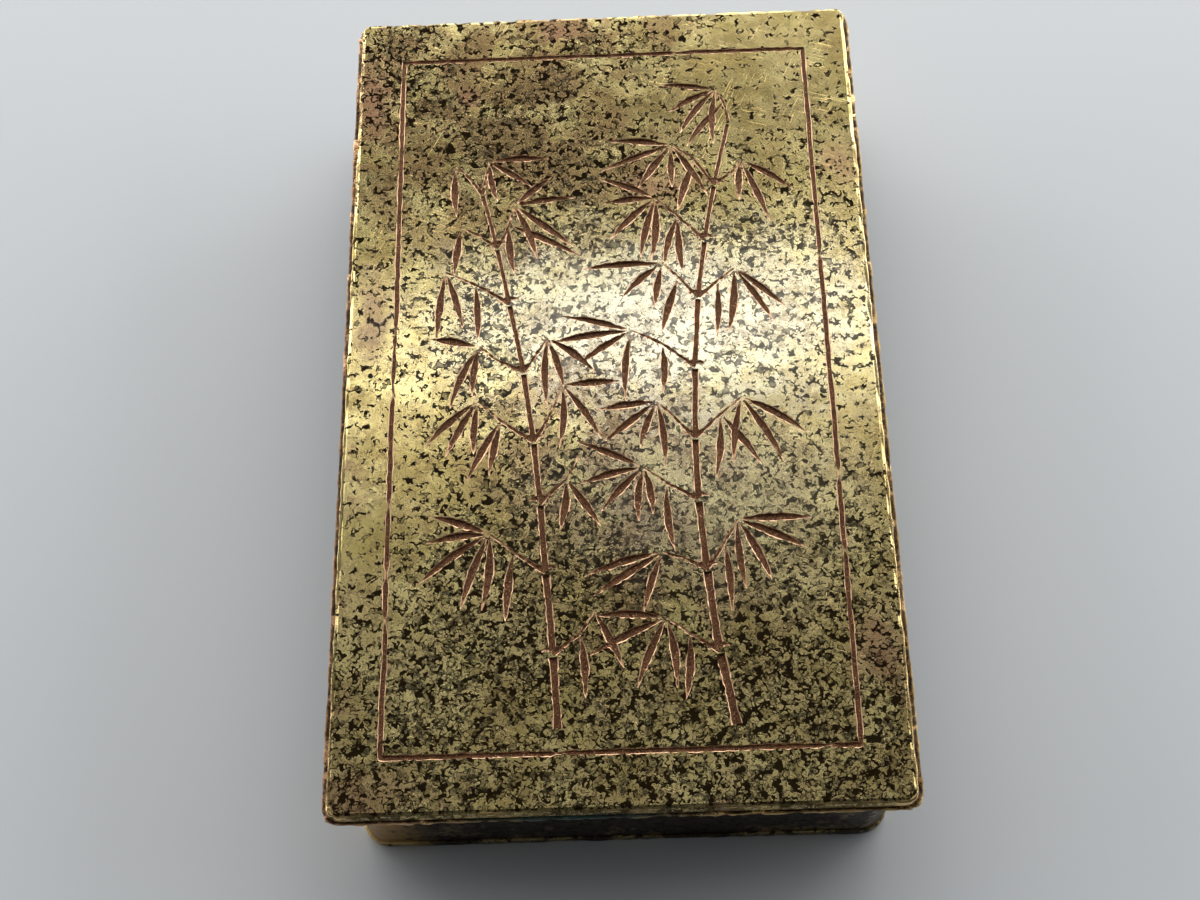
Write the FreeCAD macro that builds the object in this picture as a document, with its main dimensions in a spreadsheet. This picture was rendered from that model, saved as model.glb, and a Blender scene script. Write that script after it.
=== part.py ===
"""A lidded brass ink box with a lift-out copper liner and a slate inkstone.

The box lies flat, its long side along Y and its short side along X. The origin is the middle of its
underside, on the surface that it stands on, and +Z is up. Sizes are in millimetres.
"""

import FreeCAD, Part
import math
import os
import Sketcher

DOCUMENT_NAME = "InkBox"
TOLERANCE = 1e-6

# Driving dimensions: what each one is, and its value
SIZES = [
    ("lid_length", 100.0, "long side of the lid, over its frame"),
    ("lid_width", 60.0, "short side of the lid, over its frame"),
    ("lid_corner", 1.9, "corner radius of the lid frame in plan"),
    ("frame_thickness", 0.6, "thickness of the frame under the lid plate"),
    ("plate_thickness", 1.1, "thickness of the engraved plate"),
    ("plate_step_side", 0.6, "the frame stands out past the plate by this on the long sides"),
    ("plate_step_end", 0.4, "the same on the short sides"),
    ("plate_corner", 1.5, "corner radius of the plate in plan"),
    ("plate_bevel", 0.2, "worn arris round the top of the plate"),
    ("border_side", 6.0, "from the lid's long side to the middle of the border line"),
    ("border_end", 6.5, "from the lid's short side to the middle of the border line"),
    ("border_line_width", 0.6, "width of the engraved border line"),
    ("border_line_depth", 0.3, "depth of the engraved border line"),
    ("overhang", 2.3, "the lid stands out past the case wall by this all round"),
    ("case_height", 15.3, "from the underside of the box to the top of the case wall"),
    ("case_corner", 2.8, "outer corner radius of the case wall in plan"),
    ("wall_thickness", 0.9, "sheet that the case wall is bent from"),
    ("bottom_thickness", 1.2, "thickness of the bottom plate"),
    ("bottom_ledge", 0.25, "the bottom plate stands out past the wall by this all round"),
    ("bottom_bevel", 0.15, "worn arris round the bottom plate's upper edge"),
    ("skirt_depth", 2.6, "how far the lid's skirt reaches below the top of the case wall"),
    ("skirt_thickness", 0.8, "strip that the skirt is bent from"),
    ("skirt_clearance", 0.3, "from the skirt to the inner face of the case wall"),
    ("solder_gap", 0.1, "from the skirt to the edge of the frame's opening"),
    ("liner_clearance", 0.35, "from the liner to the inner face of the case wall"),
    ("liner_thickness", 0.5, "copper sheet of the liner"),
    ("liner_headroom", 0.5, "from the liner's rim up to the lower edge of the skirt"),
    ("stone_clearance", 0.3, "from the inkstone to the inner face of the liner"),
    ("stone_drop", 0.4, "from the liner's rim down to the top of the inkstone"),
    ("stone_corner", 0.75, "smallest corner radius of the inkstone in plan"),
    ("stone_bevel", 0.4, "softened edge round the top of the inkstone"),
    ("rim_width", 3.2, "width of the inkstone's raised rim"),
    ("land_corner", 4.5, "corner radius of the sunk area inside the rim"),
    ("land_depth", 2.0, "from the rim down to the grinding surface"),
    ("pool_depth", 4.4, "from the grinding surface down to the bottom of the pool"),
    ("pool_length", 26.0, "length of the pool, measured at the grinding surface"),
    ("pool_slope", 9.0, "length of the slope from the grinding surface down into the pool"),
    ("pool_side_slope", 1.2, "the pool narrows by this on its other three sides"),
]


class Outline:
    """A rounded rectangle in plan, held as expressions that read the sheet."""

    def __init__(self, half_width, near, far, corner):
        self.half_width = half_width
        self.near = near
        self.far = far
        self.corner = corner

    def inset(self, amount):
        """The outline that lies this far inside, with its corners on the same centres."""
        return Outline(
            f"({self.half_width}) - ({amount})",
            f"({self.near}) + ({amount})",
            f"({self.far}) - ({amount})",
            f"({self.corner}) - ({amount})",
        )


def make_sheet(doc):
    sheet = doc.addObject("Spreadsheet::Sheet", "Sizes")
    for row, (alias, value, meaning) in enumerate(SIZES, start=1):
        sheet.set(f"A{row}", meaning)
        sheet.set(f"B{row}", str(value))
        sheet.setAlias(f"B{row}", alias)
    doc.recompute()
    return sheet


def make_body(doc, label, height):
    """One piece, drawn from its own lower face and placed at its height."""
    body = doc.addObject("PartDesign::Body", label)
    body.Label = label
    body.setExpression("Placement.Base.z", height)
    return body


def origin_plane(body, role):
    return next(f for f in body.Origin.OriginFeatures if f.Role == role)


def add_sketch(body, name, level="0"):
    """A sketch parallel to the body's XY plane, at this level above it."""
    sketch = body.newObject("Sketcher::SketchObject", name)
    sketch.AttachmentSupport = [(origin_plane(body, "XY_Plane"), "")]
    sketch.MapMode = "FlatFace"
    sketch.setExpression("AttachmentOffset.Base.z", level)
    return sketch


def bind(sketch, name, constraint, expression):
    """Adds a driving constraint and ties it to the sheet."""
    index = sketch.addConstraint(constraint)
    sketch.renameConstraint(index, name)
    sketch.setExpression(f"Constraints.{name}", expression)


def add_loop(sketch, name, outline):
    """Draws a closed rounded rectangle: four sides and four quarter arcs, fully constrained."""
    value = sketch.evalExpression
    x = float(value(outline.half_width))
    near = float(value(outline.near))
    far = float(value(outline.far))
    r = float(value(outline.corner))
    vector = FreeCAD.Vector

    def side(x0, y0, x1, y1):
        return sketch.addGeometry(Part.LineSegment(vector(x0, y0, 0), vector(x1, y1, 0)))

    def quarter(cx, cy, start):
        circle = Part.Circle(vector(cx, cy, 0), vector(0, 0, 1), r)
        first = start * math.pi / 2
        return sketch.addGeometry(Part.ArcOfCircle(circle, first, first + math.pi / 2))

    sides = [
        side(-x + r, near, x - r, near),
        side(x, near + r, x, far - r),
        side(x - r, far, -x + r, far),
        side(-x, far - r, -x, near + r),
    ]
    arcs = [
        quarter(x - r, near + r, 3),
        quarter(x - r, far - r, 0),
        quarter(-x + r, far - r, 1),
        quarter(-x + r, near + r, 2),
    ]
    start_point = 1
    end_point = 2
    for i in range(4):
        following = sides[(i + 1) % 4]
        sketch.addConstraint(Sketcher.Constraint("Tangent", sides[i], end_point, arcs[i], start_point))
        sketch.addConstraint(Sketcher.Constraint("Tangent", arcs[i], end_point, following, start_point))
    for i in (0, 2):
        sketch.addConstraint(Sketcher.Constraint("Horizontal", sides[i]))
        sketch.addConstraint(Sketcher.Constraint("Vertical", sides[i + 1]))
    for arc in arcs[1:]:
        sketch.addConstraint(Sketcher.Constraint("Equal", arcs[0], arc))

    bind(sketch, f"{name}_corner", Sketcher.Constraint("Radius", arcs[0], r), outline.corner)
    bind(
        sketch,
        f"{name}_right",
        Sketcher.Constraint("DistanceX", sides[1], start_point, x),
        outline.half_width,
    )
    bind(
        sketch,
        f"{name}_left",
        Sketcher.Constraint("DistanceX", sides[3], start_point, -x),
        f"-({outline.half_width})",
    )
    bind(
        sketch,
        f"{name}_near",
        Sketcher.Constraint("DistanceY", sides[0], start_point, near),
        outline.near,
    )
    bind(
        sketch,
        f"{name}_far",
        Sketcher.Constraint("DistanceY", sides[2], start_point, far),
        outline.far,
    )


def pad(body, name, loops, thickness):
    """A flat piece or a ring: the loops in one sketch, raised by the thickness."""
    sketch = add_sketch(body, f"{name}_sketch")
    for i, outline in enumerate(loops):
        add_loop(sketch, f"loop_{i}", outline)
    feature = body.newObject("PartDesign::Pad", f"{name}_pad")
    feature.Profile = sketch
    feature.setExpression("Length", thickness)
    body.Document.recompute()
    return feature


def pocket(body, name, loops, level, depth):
    """Sinks the loops into the body from this level down."""
    before = body.Shape.Volume
    sketch = add_sketch(body, f"{name}_sketch", level)
    for i, outline in enumerate(loops):
        add_loop(sketch, f"loop_{i}", outline)
    feature = body.newObject("PartDesign::Pocket", f"{name}_pocket")
    feature.Profile = sketch
    feature.setExpression("Length", depth)
    body.Document.recompute()
    require_smaller(body, name, before)
    return feature


def require_smaller(body, name, before):
    if body.Shape.Volume > before - TOLERANCE:
        raise RuntimeError(f"{body.Label}: {name} cuts nothing")


def top_edges(feature):
    """Names of the edges that lie in the feature's highest level."""
    top = feature.Shape.BoundBox.ZMax
    names = []
    for i, edge in enumerate(feature.Shape.Edges, start=1):
        box = edge.BoundBox
        if abs(box.ZMin - top) < TOLERANCE and abs(box.ZMax - top) < TOLERANCE:
            names.append(f"Edge{i}")
    return names


def bevel(body, name, base, size):
    """Takes the arris off the edges round the top of a feature."""
    before = body.Shape.Volume
    feature = body.newObject("PartDesign::Chamfer", f"{name}_bevel")
    feature.Base = (base, top_edges(base))
    feature.setExpression("Size", size)
    body.Document.recompute()
    require_smaller(body, name, before)
    return feature


# Outlines in plan, each worked out from the one that it fits
LID_EDGE = Outline(
    "Sizes.lid_width / 2",
    "-Sizes.lid_length / 2",
    "Sizes.lid_length / 2",
    "Sizes.lid_corner",
)
PLATE_EDGE = Outline(
    "Sizes.lid_width / 2 - Sizes.plate_step_side",
    "-Sizes.lid_length / 2 + Sizes.plate_step_end",
    "Sizes.lid_length / 2 - Sizes.plate_step_end",
    "Sizes.plate_corner",
)
CASE_OUTER = Outline(
    "Sizes.lid_width / 2 - Sizes.overhang",
    "-Sizes.lid_length / 2 + Sizes.overhang",
    "Sizes.lid_length / 2 - Sizes.overhang",
    "Sizes.case_corner",
)
BOTTOM_EDGE = CASE_OUTER.inset("-Sizes.bottom_ledge")
CASE_INNER = CASE_OUTER.inset("Sizes.wall_thickness")
SKIRT_OUTER = CASE_INNER.inset("Sizes.skirt_clearance")
SKIRT_INNER = SKIRT_OUTER.inset("Sizes.skirt_thickness")
LINER_OUTER = CASE_INNER.inset("Sizes.liner_clearance")
LINER_INNER = LINER_OUTER.inset("Sizes.liner_thickness")
STONE_EDGE = LINER_INNER.inset("Sizes.stone_clearance")
STONE_EDGE.corner = f"max(Sizes.stone_corner; {STONE_EDGE.corner})"

# Levels above the surface that the box stands on
PLATE_LEVEL = "Sizes.case_height + Sizes.frame_thickness"
SKIRT_LEVEL = "Sizes.case_height - Sizes.skirt_depth"
RIM_LEVEL = f"{SKIRT_LEVEL} - Sizes.liner_headroom"
LINER_FLOOR_TOP = "Sizes.bottom_thickness + Sizes.liner_thickness"
STONE_THICKNESS = f"{RIM_LEVEL} - Sizes.stone_drop - ({LINER_FLOOR_TOP})"


def make_bottom_plate(doc):
    """The brass floor of the case, a little larger than the wall that is soldered on it."""
    body = make_body(doc, "bottom_plate", "0")
    sheet = pad(body, "bottom", [BOTTOM_EDGE], "Sizes.bottom_thickness")
    bevel(body, "bottom", sheet, "Sizes.bottom_bevel")
    return body


def make_side_wall(doc):
    """The case wall: one brass strip bent round four corners and soldered at its seam."""
    body = make_body(doc, "side_wall", "Sizes.bottom_thickness")
    pad(body, "wall", [CASE_OUTER, CASE_INNER], "Sizes.case_height - Sizes.bottom_thickness")
    return body


def make_lid_frame(doc):
    """The flat frame under the lid plate. It rests on the top of the case wall."""
    body = make_body(doc, "lid_frame", "Sizes.case_height")
    opening = SKIRT_OUTER.inset("-Sizes.solder_gap")
    pad(body, "frame", [LID_EDGE, opening], "Sizes.frame_thickness")
    return body


def make_lid_plate(doc):
    """The engraved sheet. Its border line is one closed groove of even width."""
    body = make_body(doc, "lid_plate", PLATE_LEVEL)
    sheet = pad(body, "plate", [PLATE_EDGE], "Sizes.plate_thickness")
    bevel(body, "plate", sheet, "Sizes.plate_bevel")
    line_middle = Outline(
        "Sizes.lid_width / 2 - Sizes.border_side",
        "-Sizes.lid_length / 2 + Sizes.border_end",
        "Sizes.lid_length / 2 - Sizes.border_end",
        "Sizes.border_line_width",
    )
    half_line = "Sizes.border_line_width / 2"
    loops = [line_middle.inset(f"-{half_line}"), line_middle.inset(half_line)]
    pocket(body, "border_line", loops, "Sizes.plate_thickness", "Sizes.border_line_depth")
    return body


def make_lid_skirt(doc):
    """The strip under the plate that drops inside the case wall and keeps the lid in place."""
    body = make_body(doc, "lid_skirt", SKIRT_LEVEL)
    pad(body, "skirt", [SKIRT_OUTER, SKIRT_INNER], f"{PLATE_LEVEL} - ({SKIRT_LEVEL})")
    return body


def make_liner_floor(doc):
    """The copper sheet that the inkstone lies on."""
    body = make_body(doc, "liner_floor", "Sizes.bottom_thickness")
    pad(body, "liner_floor", [LINER_OUTER], "Sizes.liner_thickness")
    return body


def make_liner_wall(doc):
    """The copper strip bent round the edge of the liner's floor."""
    body = make_body(doc, "liner_wall", LINER_FLOOR_TOP)
    pad(body, "liner_wall", [LINER_OUTER, LINER_INNER], f"{RIM_LEVEL} - ({LINER_FLOOR_TOP})")
    return body


def make_inkstone(doc):
    """The slate inkstone: a raised rim, the sunk grinding surface and a deeper pool at its far end."""
    body = make_body(doc, "inkstone", LINER_FLOOR_TOP)
    block = pad(body, "block", [STONE_EDGE], STONE_THICKNESS)
    bevel(body, "block", block, "Sizes.stone_bevel")

    land = STONE_EDGE.inset("Sizes.rim_width")
    land.corner = "Sizes.land_corner"
    pocket(body, "land", [land], STONE_THICKNESS, "Sizes.land_depth")

    land_level = f"{STONE_THICKNESS} - Sizes.land_depth"
    mouth = Outline(land.half_width, f"({land.far}) - Sizes.pool_length", land.far, land.corner)
    side = "Sizes.pool_side_slope"
    bottom = Outline(
        f"({mouth.half_width}) - {side}",
        f"({mouth.near}) + Sizes.pool_slope",
        f"({mouth.far}) - {side}",
        f"({mouth.corner}) - {side}",
    )
    before = body.Shape.Volume
    mouth_sketch = add_sketch(body, "pool_mouth_sketch", land_level)
    add_loop(mouth_sketch, "mouth", mouth)
    bottom_sketch = add_sketch(body, "pool_bottom_sketch", f"{land_level} - Sizes.pool_depth")
    add_loop(bottom_sketch, "bottom", bottom)
    pool = body.newObject("PartDesign::SubtractiveLoft", "pool_loft")
    pool.Profile = mouth_sketch
    pool.Sections = [bottom_sketch]
    pool.Ruled = True
    doc.recompute()
    require_smaller(body, "pool", before)
    return body


def check(doc, bodies):
    """Stops the script if any object failed or any piece isn't one valid solid."""
    for item in doc.Objects:
        if "Invalid" in item.State or "Error" in item.State:
            raise RuntimeError(f"{item.Label} failed: {item.State}")
    for body in bodies:
        shape = body.Shape
        if shape.isNull() or not shape.isValid():
            raise RuntimeError(f"{body.Label} has no valid shape")
        if len(shape.Solids) != 1:
            raise RuntimeError(f"{body.Label} is {len(shape.Solids)} solids")


def main():
    doc = FreeCAD.newDocument(DOCUMENT_NAME)
    make_sheet(doc)
    makers = [
        make_bottom_plate,
        make_side_wall,
        make_lid_frame,
        make_lid_plate,
        make_lid_skirt,
        make_liner_floor,
        make_liner_wall,
        make_inkstone,
    ]
    bodies = [maker(doc) for maker in makers]
    doc.recompute()
    check(doc, bodies)
    os.makedirs("parts", exist_ok=True)
    for body in bodies:
        body.Shape.exportStep(f"parts/{body.Label}.step")
        box = body.Shape.BoundBox
        print(
            f"{body.Label}: {body.Shape.Volume:.1f} mm3,"
            f" x {box.XMin:.2f} to {box.XMax:.2f}, y {box.YMin:.2f} to {box.YMax:.2f},"
            f" z {box.ZMin:.2f} to {box.ZMax:.2f}"
        )


main()
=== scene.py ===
# %% [markdown]
# # A brass ink box with an engraved lid
#
# This lesson builds the outside and the inside of a small ink box round a measured frame. The frame
# already holds every piece at its real size. Here each piece gets the things that the frame leaves
# out: worn edges, solder seams, engraved strokes, stone worn by grinding, and the old surface of the
# metal. Lengths are in metres, so a value in millimetres is written with `* MM`.

# %% Load the frame
import bpy
import bmesh
import math
import random
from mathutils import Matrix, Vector


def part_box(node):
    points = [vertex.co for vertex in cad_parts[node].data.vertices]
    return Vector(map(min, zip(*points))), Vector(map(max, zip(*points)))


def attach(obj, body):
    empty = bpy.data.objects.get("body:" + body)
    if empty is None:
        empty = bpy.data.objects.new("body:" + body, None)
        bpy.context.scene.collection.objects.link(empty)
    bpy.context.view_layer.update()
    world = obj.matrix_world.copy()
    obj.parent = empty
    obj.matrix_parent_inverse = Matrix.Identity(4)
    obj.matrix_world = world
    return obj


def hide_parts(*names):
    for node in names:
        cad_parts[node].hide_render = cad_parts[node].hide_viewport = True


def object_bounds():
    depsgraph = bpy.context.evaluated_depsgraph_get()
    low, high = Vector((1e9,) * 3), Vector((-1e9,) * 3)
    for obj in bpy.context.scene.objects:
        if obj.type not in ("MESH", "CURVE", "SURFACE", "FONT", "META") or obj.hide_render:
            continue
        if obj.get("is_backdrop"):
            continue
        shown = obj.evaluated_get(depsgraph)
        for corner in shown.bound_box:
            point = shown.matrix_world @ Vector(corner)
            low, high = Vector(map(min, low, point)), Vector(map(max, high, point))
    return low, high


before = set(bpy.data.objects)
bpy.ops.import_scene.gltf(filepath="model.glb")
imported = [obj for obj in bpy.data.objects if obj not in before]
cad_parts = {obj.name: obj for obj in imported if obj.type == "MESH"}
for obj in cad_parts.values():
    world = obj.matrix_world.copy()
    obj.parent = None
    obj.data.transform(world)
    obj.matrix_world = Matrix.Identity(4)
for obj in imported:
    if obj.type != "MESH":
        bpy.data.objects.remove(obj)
frame_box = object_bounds()
MM = 0.001
print("frame pieces:", sorted(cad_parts))


def half_size(node):
    """Half the width and half the length of a piece in plan."""
    low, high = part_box(node)
    return high.x, high.y


def levels(node):
    """The heights of a piece's underside and of its top."""
    low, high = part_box(node)
    return low.z, high.z


def inside(half, point):
    """How far a point lies inside the sides of a piece, given half the width and half the length."""
    return min(half[0] - abs(point.x), half[1] - abs(point.y))


# %% [markdown]
# ## Working by hand, in code
#
# A modeller at the screen selects something and presses a key. In a script the same two acts are a
# selection in code and an operator. An operator changes all that is selected, so each step starts
# with nothing selected. The helpers below select faces, edges or points by a test on their place, and
# those after them add a modifier and apply it at once.

# %% Selecting in code
def rest():
    """Leaves edit mode with nothing selected."""
    if bpy.context.object and bpy.context.object.mode != "OBJECT":
        bpy.ops.object.mode_set(mode="OBJECT")
    bpy.ops.object.select_all(action="DESELECT")


def add_object(name, data):
    """Puts an object with this data in the scene."""
    thing = bpy.data.objects.new(name, data)
    bpy.context.scene.collection.objects.link(thing)
    return thing


def take(piece):
    """Makes this piece the only selected one."""
    rest()
    bpy.context.view_layer.objects.active = piece
    piece.select_set(True)


def edit(piece, kind="FACE"):
    """Opens a piece in edit mode with nothing of it selected."""
    take(piece)
    bpy.ops.object.mode_set(mode="EDIT")
    bpy.ops.mesh.select_mode(type=kind)
    bpy.ops.mesh.select_all(action="DESELECT")


def pick_faces(piece, test):
    """Selects the faces whose middle and normal pass the test."""
    mesh = bmesh.from_edit_mesh(piece.data)
    for face in mesh.faces:
        face.select_set(test(face.calc_center_median(), face.normal))
    bmesh.update_edit_mesh(piece.data)


def pick_edges(piece, test, sharp=0.0):
    """Selects the edges whose two ends pass the test and whose faces meet at more than an angle."""
    mesh = bmesh.from_edit_mesh(piece.data)
    for edge in mesh.edges:
        a, b = edge.verts
        turned = not sharp or edge.calc_face_angle(0) > sharp
        edge.select_set(turned and test(a.co, b.co))
    bmesh.update_edit_mesh(piece.data)


def pick_points(piece, test):
    """Selects the points that pass the test."""
    mesh = bmesh.from_edit_mesh(piece.data)
    for vertex in mesh.verts:
        vertex.select_set(test(vertex.co))
    bmesh.update_edit_mesh(piece.data)


def at_level(height):
    """A test for points that lie at this height."""
    return lambda *points: all(abs(point.z - height) < 1e-6 for point in points)


def report(piece):
    """Prints a piece's triangles and size."""
    triangles = sum(len(f.vertices) - 2 for f in piece.data.polygons)
    size = [round(v / MM, 2) for v in piece.dimensions]
    print(f"{piece.name}: {triangles} triangles, {size} mm")


# %% Modifiers in code
def modify(piece, kind, **settings):
    """Adds a modifier to a piece and applies it."""
    take(piece)
    bpy.ops.object.modifier_add(type=kind)
    modifier = piece.modifiers[-1]
    for name, value in settings.items():
        setattr(modifier, name, value)
    bpy.ops.object.modifier_apply(modifier=modifier.name)


def displace(piece, name, clouds, **settings):
    """Moves the points of a piece by a cloud texture with these settings."""
    texture = bpy.data.textures.new(name, "CLOUDS")
    for setting, value in clouds.items():
        setattr(texture, setting, value)
    modify(piece, "DISPLACE", texture=texture, texture_coords="LOCAL", **settings)
    bpy.data.textures.remove(texture)


def carve(piece, tool, **settings):
    """Takes a tool's shape out of a piece and throws the tool away."""
    modify(piece, "BOOLEAN", operation="DIFFERENCE", solver="EXACT", object=tool, **settings)
    bpy.data.objects.remove(tool)


# %% [markdown]
# ## Sheets and strips
#
# Nearly every piece of this box was cut from brass or copper sheet. A flat piece is a rectangle with
# rounded corners, pulled up to its thickness. A wall is a strip bent round the same corners, so in
# plan it is two rounded rectangles with the space between them filled. Both start from a plane: its
# corners are rounded with a vertex bevel, and its long sides are cut into short edges, so that later
# steps can dent and wear them. The other way, a cube with bevelled corners, would leave long edges
# that can't be worn unevenly.

# %% Outlines, sheets and rings
CORNER_STEPS = 10
SHARP = math.radians(30)


def outline(half_x, half_y, corner, height, spacing, first=True):
    """Adds the closed line of a rounded rectangle, and leaves the mesh open in edit mode."""
    bpy.ops.mesh.primitive_plane_add(size=2, location=(0, 0, height))
    piece = bpy.context.object
    if first:
        piece.scale = (half_x, half_y, 1)
        bpy.ops.object.transform_apply(location=True, rotation=True, scale=True)
        bpy.ops.object.mode_set(mode="EDIT")
        bpy.ops.mesh.select_all(action="SELECT")
    else:
        bpy.ops.transform.resize(value=(half_x, half_y, 1), center_override=(0, 0, height))
    bpy.ops.mesh.select_mode(type="VERT")
    bpy.ops.mesh.bevel(offset=corner, segments=CORNER_STEPS, affect="VERTICES", clamp_overlap=False)
    bpy.ops.mesh.delete(type="ONLY_FACE")
    bpy.ops.mesh.select_mode(type="EDGE")
    for half in (half_x, half_y):
        run = 2 * (half - corner)
        pick_edges(piece, lambda a, b: abs((a - b).length - run) < 1e-6)
        bpy.ops.mesh.subdivide(number_cuts=max(1, round(run / spacing) - 1))
    bpy.ops.mesh.select_all(action="SELECT")
    return piece


def raise_faces(piece, name, low, high):
    """Pulls the flat faces at the low level up to the high one, and names the piece."""
    bpy.ops.mesh.select_all(action="SELECT")
    bpy.ops.mesh.extrude_region_move(TRANSFORM_OT_translate={"value": (0, 0, high - low)})
    bpy.ops.mesh.select_all(action="SELECT")
    bpy.ops.mesh.normals_make_consistent(inside=False)
    rest()
    piece.name = name
    piece.data.name = name
    return piece


def sheet_piece(name, half_x, half_y, corner, low, high, spacing):
    """A flat sheet with rounded corners."""
    rest()
    piece = outline(half_x, half_y, corner, low, spacing)
    bpy.ops.mesh.edge_face_add()
    return raise_faces(piece, name, low, high)


def ring_piece(name, outer, inner, low, high, spacing):
    """A strip bent round four corners: outer and inner are (half width, half length, corner)."""
    rest()
    piece = outline(*outer, low, spacing)
    outline(*inner, low, spacing * (inner[1] - inner[2]) / (outer[1] - outer[2]), first=False)
    bpy.ops.mesh.bridge_edge_loops()
    return raise_faces(piece, name, low, high)


def strip_piece(name, node, corner, thickness, spacing):
    """The bent strip that stands for a node, with its outer corner radius and its thickness."""
    half_x, half_y = half_size(node)
    inner = (half_x - thickness, half_y - thickness, corner - thickness)
    return ring_piece(name, (half_x, half_y, corner), inner, *levels(node), spacing)


def soften(piece, height, width, steps=3, test=lambda point: True):
    """Rounds the sharp edges at one level, where their first point passes the test."""
    edit(piece, "EDGE")
    level = at_level(height)
    pick_edges(piece, lambda a, b: level(a, b) and test(a), SHARP)
    bpy.ops.mesh.bevel(offset=width, segments=steps, profile=0.5, affect="EDGES", clamp_overlap=False)
    rest()


def smooth(piece, angle=35):
    """Shades a piece smoothly, apart from the edges that turn by more than the angle in degrees."""
    take(piece)
    bpy.ops.object.shade_smooth_by_angle(angle=math.radians(angle))


def solder_seam(piece, far_side, width, depth):
    """Presses a thin upright groove into the middle of the far side, where a strip's ends meet."""

    def middle(point):
        return abs(point.x) < 1e-5 and abs(point.y - far_side) < 1e-5

    edit(piece, "EDGE")
    pick_edges(piece, lambda a, b: middle(a) and middle(b))
    bpy.ops.mesh.bevel(offset=width, segments=2, affect="EDGES", clamp_overlap=False)
    bpy.ops.mesh.select_mode(type="VERT")
    pick_points(piece, middle)
    bpy.ops.transform.translate(value=(0, -depth, 0))
    rest()


# %% [markdown]
# ## Wear in the shape itself
#
# An old box has no straight arris left. Its edges are nibbled by small knocks and its sheets are
# faintly wavy. A Displace modifier with a cloud texture does this. It acts through a vertex group, so
# only the chosen band moves, and its middle level is set to 1, so the metal only goes inward and the
# piece keeps its size. Moving each point by hand would give the same shape with much more code.

# %% Nibbled edges
def wear_band(piece, name, test, reach, grain, axis="NORMAL"):
    """Displaces the points that pass the test, inward by up to reach, in lumps as large as grain."""
    take(piece)
    group = piece.vertex_groups.new(name=name)
    group.add([v.index for v in piece.data.vertices if test(v.co)], 1.0, "REPLACE")
    clouds = {"noise_scale": grain, "noise_depth": 0, "contrast": 1.6, "use_clamp": True}
    displace(piece, name, clouds, direction=axis, vertex_group=name, strength=reach, mid_level=1.0)
    piece.vertex_groups.clear()


# %% [markdown]
# ## The engraved top sheet
#
# The lid's top is one thick brass sheet. Its corners are rounded, and its arris is worn by being
# picked up and put down. First comes the blank sheet. The top face gets a narrow flat ring inside the
# arris, so that the wear can't tilt the large face that the engraver works on.

# %% Blank for the top sheet
top_half = half_size("lid_plate")
top_low, top_high = levels("lid_plate")
TOP_CORNER = 1.5 * MM
EDGE_PITCH = 0.32 * MM
FLAT_RING = 0.3 * MM

top_sheet = sheet_piece("top_sheet", *top_half, TOP_CORNER, top_low, top_high, EDGE_PITCH)
soften(top_sheet, top_high, 0.26 * MM, steps=4)
soften(top_sheet, top_low, 0.08 * MM, steps=1)
edit(top_sheet)
pick_faces(top_sheet, lambda middle, normal: abs(middle.z - top_high) < 1e-6 and normal.z > 0.99)
bpy.ops.mesh.inset(thickness=FLAT_RING)
rest()


def top_arris(point):
    return point.z > top_low + 0.5 * MM and inside(top_half, point) < FLAT_RING


wear_band(top_sheet, "knocks", top_arris, 0.16 * MM, 1.1 * MM)
wear_band(top_sheet, "nibbles", top_arris, 0.10 * MM, 0.45 * MM)
report(top_sheet)

# %% [markdown]
# ## What the graver cuts
#
# Each engraved mark is a recess with a flat floor and rounded, shining shoulders. It is deepest where
# the stroke is widest and runs out to nothing at its tip. A curve does this: its bevel object is the
# section of the cut, and the radius of each of its points scales that section. All the strokes are
# splines of one curve object, which becomes a mesh and is taken out of the sheet with one exact
# boolean. Painting the strokes in the material would be quicker, but then no edge would catch light.

# %% The section of a cut
# Half of the section of a stroke 1 mm wide: (distance from the middle, height), in millimetres
HALF_SECTION = [
    (0.62, 0.30), (0.60, 0.006), (0.545, -0.007), (0.50, -0.025), (0.465, -0.056),
    (0.44, -0.11), (0.42, -0.19), (0.395, -0.28), (0.32, -0.31),
]


def section_curve(name, half_section):
    """A closed flat curve that other curves are swept with."""
    data = bpy.data.curves.new(name, "CURVE")
    data.dimensions = "2D"
    points = half_section + [(-x, y) for x, y in reversed(half_section)]
    spline = data.splines.new("POLY")
    spline.points.add(len(points) - 1)
    for place, (x, y) in zip(spline.points, points):
        place.co = (x * MM, y * MM, 0, 1)
    spline.use_cyclic_u = True
    return add_object(name, data)


graver = section_curve("graver_section", HALF_SECTION)
strokes = bpy.data.curves.new("strokes", "CURVE")
strokes.dimensions = "3D"
strokes.twist_mode = "Z_UP"
strokes.resolution_u = 4
strokes.use_fill_caps = True
strokes.bevel_mode = "OBJECT"
strokes.bevel_object = graver


def cut(points, widths, kind="NURBS", closed=False):
    """Adds a stroke: points in millimetres on the sheet, and how wide it is at each."""
    spline = strokes.splines.new(kind)
    spline.points.add(len(points) - 1)
    for place, (x, y), width in zip(spline.points, points, widths):
        place.co = (x * MM, y * MM, top_high, 1)
        place.radius = width
    if kind == "NURBS":
        spline.order_u = 3
        spline.use_endpoint_u = True
    spline.use_cyclic_u = closed


# %% [markdown]
# ## The border line
#
# A plain line runs round the face, ruled and then cut freehand. It wavers a little, more on the left,
# and the graver was lifted here and there, which leaves small nicks where the line is shallow.

# %% The border line
LINE_HALF = (24.0, 43.5)
LINE_WIDTH = 0.54
LINE_POINTS = 112
# How much of the last point's drift a point keeps, and how far a lift of the graver reaches
KEPT_DRIFT = 0.88
LIFT_REACH = 0.7
hand = random.Random(11)
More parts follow.
